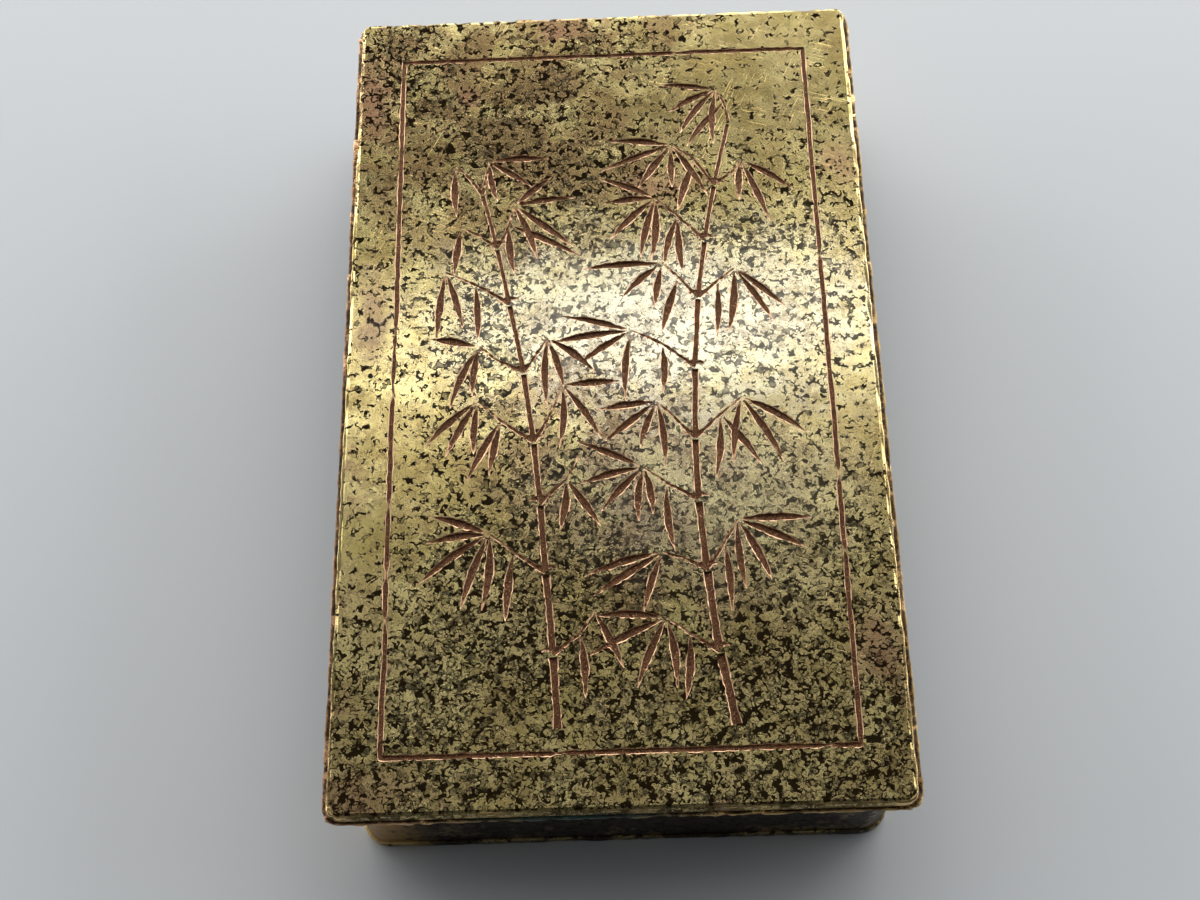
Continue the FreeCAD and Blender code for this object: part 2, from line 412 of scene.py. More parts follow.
# Places where the line is nearly interrupted, in millimetres along each side
LIFTS = {
    "left": (5.6, 3.4, -1.0, -2.2, -16.0, -24.0, -29.0),
    "right": (-13.5, -22.5, 14.0),
    "near": (-6.0, 20.5),
    "far": (9.0,),
}


def side_run(name, start, stop, fixed, along_y, waver):
    """Points and widths along one side of the border."""
    points = []
    widths = []
    drift = 0.0
    for i in range(1, LINE_POINTS):
        run = start + (stop - start) * i / LINE_POINTS
        drift = KEPT_DRIFT * drift + hand.uniform(-waver, waver)
        points.append((fixed + drift, run) if along_y else (run, fixed + drift))
        lifted = any(abs(run - place) < LIFT_REACH for place in LIFTS[name])
        widths.append(LINE_WIDTH * (0.5 if lifted else hand.uniform(0.88, 1.1)))
    return points, widths


def border_line():
    """Cuts the four sides as one closed stroke that is a little wider at its corners."""
    x, y = LINE_HALF
    sides = [
        ("near", -x, x, -y, False, 0.012),
        ("right", -y, y, x, True, 0.022),
        ("far", x, -x, y, False, 0.012),
        ("left", y, -y, -x, True, 0.042),
    ]
    corners = [(-x, -y), (x, -y), (x, y), (-x, y)]
    points = []
    widths = []
    for corner, side in zip(corners, sides):
        points.append(corner)
        widths.append(LINE_WIDTH * 1.15)
        run, run_widths = side_run(*side)
        points += run
        widths += run_widths
    cut(points, widths, kind="POLY", closed=True)
    return len(points)


print("border line of", border_line(), "points")

# %% [markdown]
# ## A spray of bamboo
#
# The face carries a traditional motif: a few bamboo stalks with their joints, thin branches and hanging
# leaves, as brush painters and engravers have drawn them for centuries. A stalk is a row of separate
# strokes with a short tick at each joint. A leaf is one stroke that swells and then runs out to a
# point. Leaves grow in small fans at the tips of branches. They are placed by a seeded random hand,
# and a leaf that would run into strokes that are already there is left out.

# %% Bamboo strokes
FACE_HALF = (21.6, 41.2)
LEAF_ROOM = 0.85
LEAF_SWELL = (0.22, 0.60, 0.92, 1.0, 0.80, 0.45, 0.10)
THINNEST = 0.09
JOINT_GAP = 0.62
TICK_SHAPE = ((-1.15, 0.40), (-0.5, 0.72), (0.5, 0.72), (1.15, 0.40))
taken = []


def on_face(points):
    """Whether all the points keep clear of the border line."""
    return all(abs(x) < FACE_HALF[0] and abs(y) < FACE_HALF[1] for x, y in points)


def crowded(points, room):
    """Whether more than one of the points comes too close to a stroke that is already there."""
    near = sum(1 for p in points if any(math.dist(p, q) < room for q in taken))
    return near > 1


def ahead_of(place, heading, distance):
    """The point at a distance from a place. The heading is in degrees."""
    angle = math.radians(heading)
    return (place[0] + distance * math.cos(angle), place[1] + distance * math.sin(angle))


def curve_points(start, heading, length, bend, count):
    """Points along a gently bending line. Heading and bend are in degrees."""
    points = [start]
    for i in range(1, count):
        turn = heading + bend * i / (count - 1)
        points.append(ahead_of(points[-1], turn, length / (count - 1)))
    return points


def leaf(start, heading, length, width, bend):
    """One leaf stroke, if there is room for it."""
    points = curve_points(start, heading, length, bend, len(LEAF_SWELL))
    if not on_face(points) or crowded(points[2:], LEAF_ROOM):
        return False
    cut(points, [max(THINNEST, width * s * hand.uniform(0.94, 1.06)) for s in LEAF_SWELL])
    taken.extend(points[1:])
    return True


def fan(tip, heading, count):
    """A few leaves that hang from the tip of a branch."""
    made = 0
    spread = hand.uniform(30, 38)
    for i in range(count):
        offset = (i - (count - 1) / 2) * spread
        turn = heading + offset + hand.uniform(-9, 9)
        droop = hand.uniform(6, 20) * (-1 if math.cos(math.radians(turn)) > 0 else 1)
        length = hand.uniform(5.6, 9.2) - abs(offset) * 0.015
        start = ahead_of(tip, turn, 0.5)
        made += leaf(start, turn, length, hand.uniform(0.80, 0.94), droop)
    return made


def stalk(foot, heading, bend, joints, width):
    """A row of strokes with ticks between them. Returns the joints, with the heading at each."""
    found = []
    place = foot
    for i in range(joints):
        turn = heading + bend * i / max(1, joints - 1)
        length = 8.2 + 0.9 * math.sin(i * 1.7)
        points = curve_points(place, turn, length - 0.55, hand.uniform(-2.5, 2.5), 6)
        thin = width * (1 - 0.06 * i)
        cut(points, [thin * s for s in (1.12, 0.96, 0.9, 0.9, 0.96, 1.1)])
        taken.extend(points)
        found.append((ahead_of(points[-1], turn, JOINT_GAP / 2), turn))
        place = ahead_of(points[-1], turn, JOINT_GAP)
    return found


def tick(place, heading, width):
    """The short arched stroke across a joint."""
    points = []
    for across, lift in TICK_SHAPE:
        points.append(ahead_of(ahead_of(place, heading - 90, across), heading, lift))
    cut(points, [0.16, width, width, 0.16])


def branch(place, heading, length, leaves):
    """Two thin strokes with a fan of leaves at the tip and another at the knee."""
    first = curve_points(place, heading, length * 0.55, hand.uniform(-8, 8), 5)
    if not on_face(first):
        return 0
    cut(first, [0.5, 0.42, 0.36, 0.34, 0.3])
    taken.extend(first[1:])
    second = curve_points(first[-1], heading + hand.uniform(-14, 14), length * 0.45, 6, 4)
    made = 0
    side = 1 if math.cos(math.radians(heading)) > 0 else -1
    hang = -90 + side * hand.uniform(25, 45)
    if on_face(second):
        cut(second, [0.32, 0.3, 0.26, 0.2])
        taken.extend(second[1:])
        made += fan(second[-1], hang + side * 18, leaves)
    made += fan(first[-1], hang - side * 6, leaves - 2)
    return made


# %% Composing the spray
# Each stalk: foot, heading and bend in degrees, width, and for each joint its branches as
# (degrees from the stalk, length, leaves)
SPRAY = [
    ((11.8, -41.0), 99, -22, 0.88, [
        [(46, 6.5, 4)], [(-44, 6.5, 4), (54, 5.0, 3)], [(52, 7.0, 5)],
        [(-48, 7.0, 4), (44, 6.0, 4)], [(50, 8.5, 5)], [(-42, 5.5, 4), (46, 6.0, 3)],
        [(48, 8.0, 5)], [(-40, 4.6, 4), (44, 7.5, 5)], [(24, 5.0, 4)],
    ]),
    ((-6.2, -41.0), 92, 10, 0.80, [
        [(-50, 6.5, 4)], [(50, 7.5, 5)], [(-46, 7.0, 5)], [(48, 8.0, 4), (-40, 7.5, 4)],
        [(-44, 5.0, 4), (50, 6.0, 4)], [(42, 8.5, 5)], [(-40, 6.0, 5), (40, 5.0, 3)],
        [(-26, 4.5, 4), (22, 5.0, 4)],
    ]),
]
leaves_made = 0
for foot, heading, bend, width, branches in SPRAY:
    joints = stalk(foot, heading, bend, len(branches), width)
    for place, turn in joints[:-1]:
        tick(place, turn, 0.46)
    for (place, turn), grown in zip(joints, branches):
        for angle, length, leaves in grown:
            leaves_made += branch(place, turn + angle, length, leaves)
print("bamboo of", len(strokes.splines), "strokes,", leaves_made, "of them leaves")

# %% [markdown]
# ## Cutting the strokes out
#
# The curve becomes a mesh, its faces are turned outward, and one boolean takes it out of the sheet.
# The cut faces keep the cutter's own material, which later gets the colour of freshly cut, dulled
# copper-red metal. Strokes that cross each other make the cutter cross itself, so the exact solver is
# told to expect that. The part of the face that stays flat is then shaded flat, because smooth shading
# would bend the light round the strokes.

# %% Engraving the sheet
face_brass = bpy.data.materials.new("face_brass")
groove_brass = bpy.data.materials.new("cut_brass")
cutter = add_object("strokes", strokes)
take(cutter)
bpy.ops.object.convert(target="MESH")
cutter.data.materials.clear()
cutter.data.materials.append(groove_brass)
edit(cutter)
bpy.ops.mesh.select_all(action="SELECT")
bpy.ops.mesh.remove_doubles(threshold=1e-7)
bpy.ops.mesh.normals_make_consistent(inside=False)
rest()
heights = [v.co.z / MM for v in cutter.data.vertices]
print("cutter reaches from", round(min(heights), 3), "to", round(max(heights), 3), "mm")

# The graver skips and tears a little, so the sides of a stroke are never quite smooth
CHATTER = 0.20 * MM
displace(
    cutter, "chatter", {"noise_scale": 0.42 * MM, "noise_depth": 1}, strength=CHATTER, mid_level=0.5
)
top_sheet.data.materials.append(face_brass)
carve(top_sheet, cutter, use_self=True, material_mode="TRANSFER")
bpy.data.objects.remove(graver)
smooth(top_sheet, 40)
edit(top_sheet)
pick_faces(top_sheet, lambda middle, normal: normal.z > 0.9999 and middle.z > top_high - 0.01 * MM)
bpy.ops.mesh.faces_shade_flat()
rest()
report(top_sheet)
print("materials on the sheet:", [m.name for m in top_sheet.data.materials])

# %% [markdown]
# ## The frame under the sheet
#
# A thin frame is soldered under the top sheet and stands out past it by half a millimetre. Its edge
# was filed by hand and is nibbled all along, which gives the lid its beaded golden outline.

# %% Frame of the lid
frame_half = half_size("lid_frame")
frame_low, frame_high = levels("lid_frame")
skirt_half = half_size("lid_skirt")
SOLDER_GAP = 0.1 * MM
FRAME_CORNER = 1.9 * MM
opening = (skirt_half[0] + SOLDER_GAP, skirt_half[1] + SOLDER_GAP, 1.7 * MM)

lid_edge = ring_piece(
    "lid_edge", (*frame_half, FRAME_CORNER), opening, frame_low, frame_high, EDGE_PITCH
)


def frame_rim(point):
    return inside(frame_half, point) < 0.6 * MM


def frame_outside(point):
    return inside(frame_half, point) < 0.4 * MM


soften(lid_edge, frame_high, 0.16 * MM, test=frame_rim)
soften(lid_edge, frame_low, 0.14 * MM, steps=2, test=frame_rim)
wear_band(lid_edge, "knocks", frame_outside, 0.14 * MM, 1.6 * MM)
wear_band(lid_edge, "nibbles", frame_outside, 0.16 * MM, 0.5 * MM)
smooth(lid_edge, 60)
report(lid_edge)

# %% [markdown]
# ## The skirt
#
# Under the frame a bent strip drops inside the case and keeps the lid from sliding off. Its lower edge
# is rounded, so that it finds its way in, and its ends meet in a soldered seam on the far side.

# %% Skirt of the lid
skirt_low = levels("lid_skirt")[0]
SKIRT_STRIP = 0.8 * MM
SKIRT_CORNER = 1.6 * MM
skirt = strip_piece("skirt", "lid_skirt", SKIRT_CORNER, SKIRT_STRIP, 1.0 * MM)
soften(skirt, skirt_low, 0.22 * MM)
solder_seam(skirt, skirt_half[1], 0.12 * MM, 0.08 * MM)
wear_band(skirt, "wavy", lambda p: p.z < skirt_low + 1.0 * MM, 0.08 * MM, 7 * MM)
smooth(skirt)
report(skirt)

# %% [markdown]
# ## The case
#
# The wall of the case is one strip, bent round four corners and soldered on the bottom sheet, which
# stands out a little all round. The seam of the strip is in the middle of the far side: a hair-wide
# groove, filled low with solder.

# %% Wall and bottom of the case
wall_half = half_size("side_wall")
wall_low, wall_high = levels("side_wall")
WALL_STRIP = 0.9 * MM
WALL_CORNER = 2.8 * MM
case_wall = strip_piece("case_wall", "side_wall", WALL_CORNER, WALL_STRIP, 1.2 * MM)
soften(case_wall, wall_high, 0.16 * MM)
solder_seam(case_wall, wall_half[1], 0.14 * MM, 0.10 * MM)
edit(case_wall, "EDGE")
wall_height = wall_high - wall_low
pick_edges(case_wall, lambda a, b: abs(a.z - b.z) > wall_height / 2)
bpy.ops.mesh.subdivide(number_cuts=8)
rest()


def wall_outside(point):
    between = wall_low + 0.1 * MM < point.z < wall_high - 0.3 * MM
    return between and inside(wall_half, point) < 0.05 * MM


wear_band(case_wall, "bent", wall_outside, 0.10 * MM, 14 * MM)
smooth(case_wall)
report(case_wall)

bottom_half = half_size("bottom_plate")
bottom_low, bottom_high = levels("bottom_plate")
BOTTOM_CORNER = 3.05 * MM
case_bottom = sheet_piece(
    "case_bottom", *bottom_half, BOTTOM_CORNER, bottom_low, bottom_high, 0.5 * MM
)
soften(case_bottom, bottom_high, 0.16 * MM)
soften(case_bottom, bottom_low, 0.14 * MM, steps=2)


def bottom_edge(point):
    return inside(bottom_half, point) < 0.12 * MM


wear_band(case_bottom, "knocks", bottom_edge, 0.12 * MM, 1.3 * MM)
smooth(case_bottom, 50)
report(case_bottom)

# %% [markdown]
# ## The copper liner
#
# A tray of thin copper keeps wet ink off the brass. It is made as the case is: a bent strip on a flat
# sheet. Its rim was smoothed with a file and is a little uneven.

# %% Wall and floor of the liner
liner_half = half_size("liner_wall")
liner_high = levels("liner_wall")[1]
LINER_SHEET = 0.5 * MM
LINER_CORNER = 1.55 * MM
liner_strip = strip_piece("liner_strip", "liner_wall", LINER_CORNER, LINER_SHEET, 1.0 * MM)
soften(liner_strip, liner_high, 0.2 * MM, steps=4)
solder_seam(liner_strip, liner_half[1], 0.12 * MM, 0.08 * MM)
wear_band(liner_strip, "rim", lambda p: p.z > liner_high - 0.3 * MM, 0.12 * MM, 5 * MM, axis="Z")
smooth(liner_strip)
report(liner_strip)

floor_low, floor_high = levels("liner_floor")
liner_sheet = sheet_piece(
    "liner_sheet", *liner_half, LINER_CORNER, floor_low, floor_high, 1.5 * MM
)
soften(liner_sheet, floor_low, 0.12 * MM, steps=2)
smooth(liner_sheet)
report(liner_sheet)

# %% [markdown]
# ## The inkstone
#
# The stone is a block of slate with a raised rim, a sunk land that the ink stick is ground on, and a
# deeper pool at the far end. A mason saws the block, sinks the land and then hollows the pool. The
# same order works here: a block, then two cutters that are taken out of it, and then one soft arris
# over all the new edges. Building the hollow face by face would need many more steps.

# %% Block, land and pool
stone_half = half_size("inkstone")
stone_low, stone_high = levels("inkstone")
STONE_CORNER = 0.75 * MM
RIM_WIDTH = 3.2 * MM
LAND_CORNER = 4.5 * MM
LAND_DEPTH = 2.0 * MM
POOL_DEPTH = 4.4 * MM
POOL_LENGTH = 26.0 * MM
POOL_SLOPE = 9.0 * MM
POOL_SIDE = 1.2 * MM
POOL_FILLET = 1.6 * MM
LAND_TAPER = 0.35 * MM
STONE_ARRIS = 0.42 * MM


def move_edge_level(piece, height, scale, shift):
    """Narrows or shifts all that lies at one level of a piece."""
    edit(piece, "VERT")
    pick_points(piece, at_level(height))
    bpy.ops.transform.resize(value=(*scale, 1), center_override=(0, 0, height))
    bpy.ops.transform.translate(value=(*shift, 0))
    rest()


inkstone = sheet_piece("slate_stone", *stone_half, STONE_CORNER, stone_low, stone_high, 1.5 * MM)
land_half = (stone_half[0] - RIM_WIDTH, stone_half[1] - RIM_WIDTH)
land_level = stone_high - LAND_DEPTH
land_tool = sheet_piece("land_tool", *land_half, LAND_CORNER, land_level, stone_high + MM, 1.5 * MM)
narrower = [(half - LAND_TAPER) / half for half in land_half]
move_edge_level(land_tool, land_level, narrower, (0, 0))
carve(inkstone, land_tool)

mouth_half = (land_half[0] - LAND_TAPER, POOL_LENGTH / 2)
pool_level = land_level - POOL_DEPTH
pool_half = (mouth_half[0] - POOL_SIDE, (POOL_LENGTH - POOL_SLOPE - POOL_SIDE) / 2)
pool_top = land_level + 0.02 * MM
pool_tool = sheet_piece("pool_tool", *mouth_half, LAND_CORNER, pool_level, pool_top, 1.5 * MM)
narrower = (pool_half[0] / mouth_half[0], pool_half[1] / mouth_half[1])
move_edge_level(pool_tool, pool_level, narrower, (0, (POOL_SLOPE - POOL_SIDE) / 2))
take(pool_tool)
pool_tool.location.y = land_half[1] - LAND_TAPER - POOL_LENGTH / 2
bpy.ops.object.transform_apply(location=True, rotation=True, scale=True)
soften(pool_tool, pool_level, POOL_FILLET, steps=5)
carve(inkstone, pool_tool)
arris_angle = math.radians(14)
modify(
    inkstone, "BEVEL", width=STONE_ARRIS, segments=4, limit_method="ANGLE", angle_limit=arris_angle
)
smooth(inkstone, 50)
report(inkstone)

# %% [markdown]
# ## Nodes without clutter
#
# A material is a tree of nodes. An operator acts on the active object, and in the same way the helpers
# below act on one active tree, which keeps a long recipe readable. One adds a node with its values,
# others add a step of arithmetic, a soft step, a noise or a mix of two colours. Patterns read Object
# coordinates, turned into millimetres, so a noise of scale 0.5 has lumps about 2 mm across.

# %% Adding nodes
active = {}


def wire(node, inputs):
    """Fills inputs of a node. Each gets a plain value or the output of another node."""
    for name, value in inputs.items():
        if isinstance(value, bpy.types.NodeSocket):
            active["tree"].links.new(value, node.inputs[name])
        else:
            node.inputs[name].default_value = value


def put(kind, inputs=None, **settings):
    """Adds a node to the active tree."""
    node = active["tree"].nodes.new(kind)
    for name, value in settings.items():
        setattr(node, name, value)
    wire(node, inputs or {})
    return node


def new_group(name, inputs, outputs):
    """Opens an empty node group. Inputs are names with values, and outputs are names."""
    tree = bpy.data.node_groups.new(name, "ShaderNodeTree")
    active["tree"] = tree
    for socket, value in inputs.items():
        kind = "NodeSocketVector" if isinstance(value, tuple) else "NodeSocketFloat"
        tree.interface.new_socket(socket, in_out="INPUT", socket_type=kind).default_value = value
    for socket in outputs:
        tree.interface.new_socket(socket, in_out="OUTPUT", socket_type="NodeSocketFloat")
    return tree, put("NodeGroupInput").outputs, put("NodeGroupOutput")


def use(group, *values):
    """Places a node group with a value for each of its inputs, and gives its outputs."""
    return put("ShaderNodeGroup", dict(enumerate(values)), node_tree=group).outputs


# %% Arithmetic with nodes
def calc(operation, a, b=0.0, clamp=False):
    """One step of arithmetic. Clamp keeps the result from 0 to 1."""
    return put("ShaderNodeMath", {0: a, 1: b}, operation=operation, use_clamp=clamp).outputs[0]


def plus(a, b, clamp=False):
    return calc("ADD", a, b, clamp)


def minus(a, b):
    return calc("SUBTRACT", a, b)


def times(a, b, clamp=False):
    return calc("MULTIPLY", a, b, clamp)


def larger(a, b):
    return calc("MAXIMUM", a, b)


def squares(a, b):
    return plus(times(a, a), times(b, b))


def weighted(start, terms):
    """start plus each (mask, weight)."""
    total = start
    for mask, weight in terms:
        total = plus(total, times(mask, weight))
    return total


def move(operation, a, b):
    """One step of arithmetic on places."""
    return put("ShaderNodeVectorMath", {0: a, 1: b}, operation=operation).outputs[0]


def scaled(place, scale):
    return put("ShaderNodeVectorMath", {0: place, "Scale": scale}, operation="SCALE").outputs[0]


def split(place):
    """The three parts of a place."""
    return put("ShaderNodeSeparateXYZ", {0: place}).outputs


def millimetres():
    """The place on the piece, in millimetres."""
    return scaled(put("ShaderNodeTexCoord").outputs["Object"], 1000.0)


# %% Patterns and colours with nodes
def step(value, start, stop, low=0.0, high=1.0):
    """A soft step from low to high as the value goes from start to stop."""
    inputs = {"Value": value, "From Min": start, "From Max": stop, "To Min": low, "To Max": high}
    return put("ShaderNodeMapRange", inputs, interpolation_type="SMOOTHSTEP").outputs[0]


def noise(place, scale, detail=2.0, roughness=0.5, warp=0.0, output=0):
    """Lumps whose number per millimetre is the scale. Output 1 is the same noise as a colour."""
    inputs = {"Vector": place, "Scale": scale, "Detail": detail, "Roughness": roughness}
    return put("ShaderNodeTexNoise", {**inputs, "Distortion": warp}).outputs[output]


def blend(amount, first, second):
    """Mixes two colours."""
    first, second = [(*c, 1) if isinstance(c, tuple) else c for c in (first, second)]
    return put("ShaderNodeMix", {0: amount, 6: first, 7: second}, data_type="RGBA").outputs[2]


def bump(height, distance, **more):
    return put("ShaderNodeBump", {"Height": height, "Distance": distance, **more}).outputs[0]


def start_material(material):
    """Opens a material with only a surface shader. Gives the shader and the place on the piece."""
    material.use_nodes = True
    active["tree"] = material.node_tree
    material.node_tree.nodes.clear()
    shader = put("ShaderNodeBsdfPrincipled")
    wire(put("ShaderNodeOutputMaterial"), {0: shader.outputs[0]})
    return shader, millimetres()


def sheet_normal(place, height, wave_scale):
    """Fine relief on the broad faint waves of a hand-made sheet."""
    fine_normal = bump(height, 0.012 * MM)
    return bump(noise(place, wave_scale), 0.05 * MM, Normal=fine_normal)


# %% [markdown]
# ## Effect: how far from the edge
#
# Wear and dirt follow the edges of a sheet. This group measures how far a point lies inside a rounded
# rectangle, in millimetres, with the usual distance formula for such a shape. An alternative is to
# paint the edges on each mesh, but that would have to be redone for every piece.

# %% Node group: inset
ORIGIN = (0.0, 0.0, 0.0)
inset_group, given, result = new_group(
    "inset", {"Vector": ORIGIN, "Half Width": 30.0, "Half Length": 50.0, "Corner": 2.0}, ["Inset"]
)
parts = split(given["Vector"])
over_x = minus(calc("ABSOLUTE", parts[0]), minus(given["Half Width"], given["Corner"]))
over_y = minus(calc("ABSOLUTE", parts[1]), minus(given["Half Length"], given["Corner"]))
past_corner = calc("SQRT", squares(larger(over_x, 0.0), larger(over_y, 0.0)))
past_side = calc("MINIMUM", larger(over_x, over_y), 0.0)
wire(result, {"Inset": minus(given["Corner"], plus(past_corner, past_side))})

# %% [markdown]
# ## Effect: a soft spot
#
# Stains, bare patches and places where the patina is thick are round or oval and fade out. This group
# gives 1 at a centre and 0 at a given distance from it, with a ragged outline. Many spots are easy to
# keep in a table, and to add up.

# %% Node group: soft spot
# The height of the face, in millimetres
FACE_LEVEL = 17.0
spot_group, given, result = new_group(
    "soft_spot",
    {"Vector": ORIGIN, "Centre": ORIGIN, "Reach X": 10.0, "Reach Y": 10.0, "Ragged": 0.3},
    ["Amount"],
)
away = split(move("SUBTRACT", given["Vector"], given["Centre"]))
part_x = calc("DIVIDE", away[0], given["Reach X"])
part_y = calc("DIVIDE", away[1], given["Reach Y"])
distance = calc("SQRT", squares(part_x, part_y))
ragged = times(minus(noise(given["Vector"], 0.45, 3.0), 0.5), given["Ragged"])
wire(result, {"Amount": step(plus(distance, ragged), 1.0, 0.1)})


def spot(place, x, y, reach_x, reach_y, ragged=0.5):
    return use(spot_group, place, (x, y, FACE_LEVEL), reach_x, reach_y, ragged)["Amount"]


def spots(place, rows, ragged):
    """A term for weighted() from each row of (x, y, reach x, reach y, weight)."""
    return [(spot(place, *row, ragged), weight) for *row, weight in rows]


# %% [markdown]
# ## Effect: flecks of patina
#
# Old brass that was darkened and then rubbed keeps dark flecks in its pits. They are curly, half a
# millimetre or so across, some are rings with a lighter heart, and they join up where the patina is
# thick. Noise that is cut off at a level makes islands. The place is first shaken by another noise,
# which curls them, and the level follows the share that the material asks for. Finer specks lie
# between them. A brown haze lies close round the flecks and in wide drifts, and a thin bright rim
# runs along each fleck.

# %% Node group: flecks
fleck_group, given, result = new_group(
    "patina_flecks",
    {"Vector": ORIGIN, "Share": 0.3, "Size": 1.0, "Curl": 0.6},
    ["Fleck", "Haze", "Rim"],
)
shaken = move("SUBTRACT", noise(given["Vector"], 1.7, output=1), (0.5, 0.5, 0.5))
curly = move("ADD", given["Vector"], scaled(shaken, given["Curl"]))
other = move("ADD", curly, (31.0, 17.0, 5.0))
pitch = calc("DIVIDE", 1.0, given["Size"])
blots = noise(curly, pitch, 1.5)
winding = noise(other, times(pitch, 1.45), 0.6)
ridge = minus(0.10, calc("ABSOLUTE", minus(winding, 0.5)))
level = minus(0.205, times(given["Share"], 0.36))
rise = minus(weighted(-0.5, [(blots, 1.0), (ridge, 1.15)]), level)
with_heart = step(noise(other, 0.9, 1.0), 0.46, 0.54)
heart = times(step(rise, 0.085, 0.12), with_heart)
fleck = times(step(rise, 0.0, 0.020), minus(1.0, times(heart, 0.6)))
fine = noise(move("ADD", curly, (7.0, 3.0, 1.0)), 4.2, 1.0)
specks = step(minus(fine, level), 0.56, 0.59)
haze_wide = step(noise(given["Vector"], 0.26, 4.0, 0.65), 0.44, 0.60)
haze_near = times(step(rise, -0.09, 0.02), 0.35)
haze_grain = step(noise(curly, 1.8, 3.0), 0.28, 0.62)
haze = times(plus(haze_near, haze_wide, clamp=True), haze_grain)
rim = times(step(rise, -0.05, -0.015), step(rise, 0.0, -0.012))
wire(result, {"Fleck": larger(fleck, times(specks, 0.8)), "Haze": haze, "Rim": rim})

# %% [markdown]
# ## Effect: scratches
#
# A few hair scratches run over the metal in two or three directions. Each set is a noise that is
# stretched some thirtyfold along the scratch and cut off to thin lines, and a second noise breaks the
# lines up.

# %% Node group: scratches
STRETCH = (0.035, 1.0, 1.0)
scratch_group, given, result = new_group(
    "hair_scratches", {"Vector": ORIGIN, "Angle": 0.3, "Pitch": 2.4, "Amount": 0.5}, ["Scratch"]
)
inputs = {"Vector": given["Vector"], "Angle": given["Angle"]}
turned = put("ShaderNodeVectorRotate", inputs, rotation_type="Z_AXIS").outputs[0]
lines = noise(move("MULTIPLY", turned, STRETCH), given["Pitch"], 1.0, warp=0.15)
hair = step(calc("ABSOLUTE", minus(lines, 0.5)), 0.006, 0.0)
broken = step(noise(turned, 0.22), 0.50, 0.64)
wire(result, {"Scratch": times(times(hair, broken), given["Amount"])})


def crossed(place, first, second):
    """Two sets of scratches, each (angle, pitch, amount)."""
    return larger(use(scratch_group, place, *first)[0], use(scratch_group, place, *second)[0])


print("node groups:", [g.name for g in bpy.data.node_groups])

# %% [markdown]
# ## The engraved brass
#
# The face is olive-gold brass that was darkened and rubbed. Dark flecks lie over it, thick at the near
# end and in the middle, thin at the far right corner and along the left border. The borders carry
# reddish-brown stains, the arris is rubbed to bright gold, and a few hair scratches cross the flecks.
# The two near corners of the arris also get a painted highlight in the same bright gold.
# Old wax lies over the middle as a coat, which turns white where a light shines along it. Where the
# bright band of light falls, the base colour is also painted paler and whiter: a painted sheen.

# %% Colours and zones of the face
OLIVE_BRASS = (0.44, 0.36, 0.13)
PALE_BRASS = (0.66, 0.56, 0.25)
WAX_AND_PAINTED_SHEEN = (0.61, 0.585, 0.46)
BROWN_BRASS = (0.30, 0.205, 0.085)
BROWN_HAZE = (0.20, 0.125, 0.055)
RIM_BRASS = (0.70, 0.60, 0.32)
SOOT = (0.022, 0.022, 0.014)
DARK_PATINA = (0.009, 0.005, 0.0015)
RED_STAIN = (0.26, 0.13, 0.085)
BRIGHT_GOLD = (0.86, 0.62, 0.27)
# Spots in millimetres, as rows of (x, y, reach x, reach y, weight)
FLECKED = [
    (27, 45, 26, 20, -0.20), (-28, -14, 12, 38, -0.16), (29, -30, 8, 15, -0.10),
    (16, 18, 13, 9, 0.12), (10, -36, 15, 9, 0.10), (28, -4, 8, 20, -0.12),
    (-7, -21, 19, 20, 0.14), (-14, 7, 8, 15, 0.14), (0, 46, 18, 8, 0.12),
    (-2, 22, 18, 14, 0.14), (-13, 34, 20, 15, 0.18), (-26, 44, 12, 14, 0.16),
]
BROWNED = [
    (-12, 32, 26, 22, 1.0), (-2, -8, 20, 16, 0.9), (4, -25, 18, 14, 0.5),
    (28, -36, 6, 10, 0.5), (-28, 40, 7, 16, 0.9), (-6, 47, 26, 8, 0.8),
]
STAINED = [
    (-27, 38, 3, 9, 1), (-5, 47.5, 4, 3, 1), (27, 27, 3.5, 5, 1), (26.5, -33, 4, 6, 1),
    (-26.5, 8, 3, 8, 1), (-16, 38, 3, 3, 1), (6, 24, 6, 4, 1), (-26, -47.5, 7, 4.5, 1),
]

# %% Material: engraved face, its flecks and brass
shader, place = start_material(face_brass)
axis = split(place)
edge_in = use(inset_group, place, 29.4, 49.6, 1.5)[0]

near_end = (step(axis[1], 0.0, -44.0), 0.24)
drifts = [(noise(place, 0.14, 3.0, 0.6), 0.36), (noise(place, 0.42, 2.0, 0.6), 0.44)]
share = weighted(-0.09, [near_end, *spots(place, FLECKED, 0.5), *drifts])
flecks = use(fleck_group, place, share, 0.94, 0.6)

tone = step(noise(place, 0.15, 5.0, 0.65), 0.36, 0.62)
brass = blend(tone, OLIVE_BRASS, PALE_BRASS)
brown_zone = weighted(0.35, spots(place, BROWNED, 0.9))
brown_tone = step(noise(place, 0.19, 4.0, 0.65), 0.36, 0.58)
brass = blend(times(brown_tone, brown_zone, clamp=True), brass, BROWN_BRASS)
# These spots make the base colour paler and whiter where the bright band falls: a painted sheen over the
# real coat of wax.
thin_wax_and_painted_sheen = spot(place, 9, -13, 25, 20, 0.7)
wax_and_painted_sheen = plus(spot(place, 6, 7, 38, 17, 0.7), times(thin_wax_and_painted_sheen, 0.38), clamp=True)
brass = blend(times(wax_and_painted_sheen, 0.7), brass, WAX_AND_PAINTED_SHEEN)
haze = times(flecks["Haze"], weighted(0.15, [(brown_zone, 0.65)]), clamp=True)
brass = blend(haze, brass, BROWN_HAZE)

